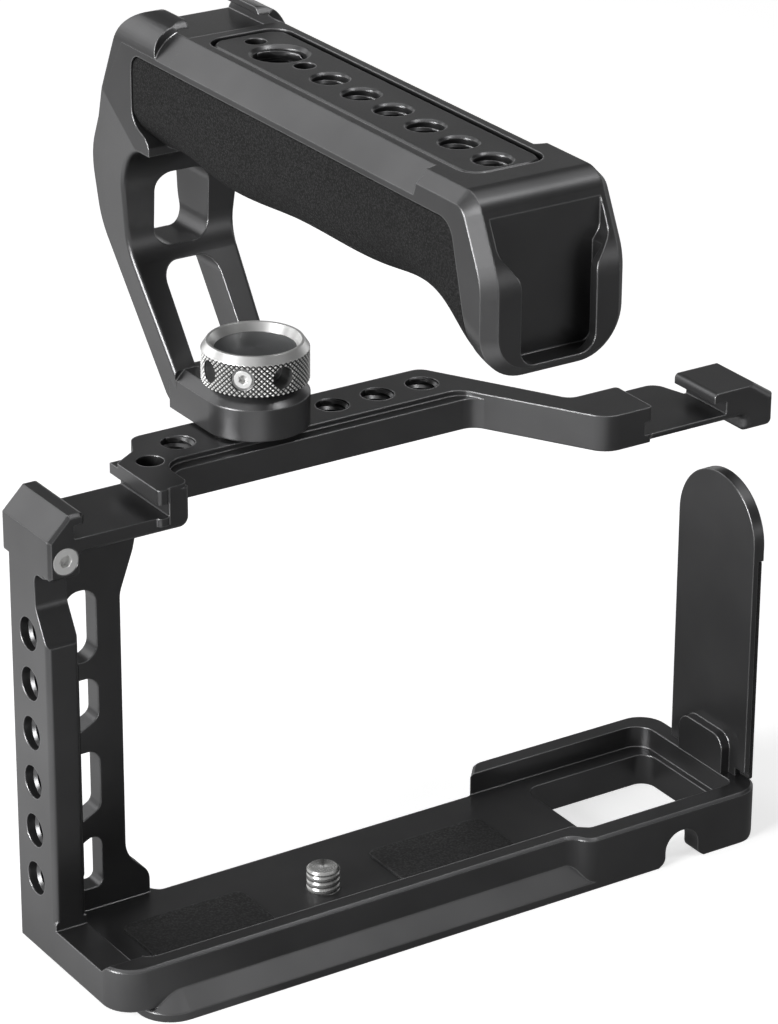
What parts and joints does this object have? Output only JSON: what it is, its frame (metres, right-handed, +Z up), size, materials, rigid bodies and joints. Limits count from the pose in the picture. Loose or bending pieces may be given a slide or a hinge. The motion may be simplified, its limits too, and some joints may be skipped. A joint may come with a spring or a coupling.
{
  "type": "camera cage",
  "caption": "Black aluminium camera cage with threaded side post, dovetail base, cold shoes and a lift-off top handle held by a knurled thumb screw.",
  "frame": {"origin": "middle of the dovetail's underside, straight below the lens axis", "axes": "+X to the side post, +Y to the back of the camera, +Z up; the handle lies along Y over X = 0"},
  "size_m": [0.149, 0.134, 0.1699],
  "materials": {
    "black_anodised": "fine bead-blasted black anodising",
    "bright_steel": "bright turned and knurled steel",
    "dark_cap": "satin dark grey",
    "screw_steel": "plain steel",
    "black_rubber": "matt",
    "leatherette": "fine pebbled grain, matt"
  },
  "bodies": {
    "cage": {"cage_frame": "black_anodised", "grip_post": "black_anodised", "grip_post_pad": "black_rubber", "grip_post_screws": "screw_steel", "base_pads": "black_rubber", "side_pad": "black_rubber"},
    "handle": {"handle_frame": "black_anodised", "top_rail": "black_anodised", "top_rail_screws": "screw_steel", "grip_pad_left": "leatherette", "grip_pad_right": "leatherette", "locating_pins": "screw_steel"},
    "thumb_carrier": {"thrust_washer": "screw_steel"},
    "thumb_screw": {"thumb_knob": "bright_steel", "knob_cap": "dark_cap", "knob_stud": "screw_steel", "knob_set_screws": "bright_steel"},
    "camera_carrier": {"camera_screw_washer": "screw_steel"},
    "camera_screw_body": {"camera_screw": "screw_steel"},
    "lug_screw": {"lug_lock_screw": "bright_steel"}
  },
  "joints": [
    {"name": "handle_lift", "type": "slide", "parent": "cage", "child": "handle", "axis": [0, 0, 1], "range_m": [0, 0.02]},
    {"name": "thumb_screw_rise", "type": "slide", "parent": "handle", "child": "thumb_carrier", "axis": [0, 0, 1], "range_m": [0, 0.006]},
    {"name": "thumb_screw_turn", "type": "hinge", "parent": "thumb_carrier", "child": "thumb_screw", "pos_m": [0, -0.0232, 0.1059], "axis": [0, 0, 1], "range_deg": [0, 1701]},
    {"name": "camera_screw_drop", "type": "slide", "parent": "cage", "child": "camera_carrier", "axis": [0, 0, -1], "range_m": [0, 0.0045]},
    {"name": "camera_screw_turn", "type": "hinge", "parent": "camera_carrier", "child": "camera_screw_body", "pos_m": [0, 0, 0.0015], "axis": [0, 0, -1], "range_deg": [0, 1276]},
    {"name": "lug_lock_turn", "type": "hinge", "parent": "cage", "child": "lug_screw", "pos_m": [0.0497, -0.00615, 0.084], "axis": [0, 1, 0], "range_deg": [0, 720]}
  ],
  "couplings": [
    {"joint": "thumb_screw_turn", "follows": "thumb_screw_rise", "rad_per_m": 4947.4},
    {"joint": "camera_screw_turn", "follows": "camera_screw_drop", "rad_per_m": 4947.4}
  ]
}
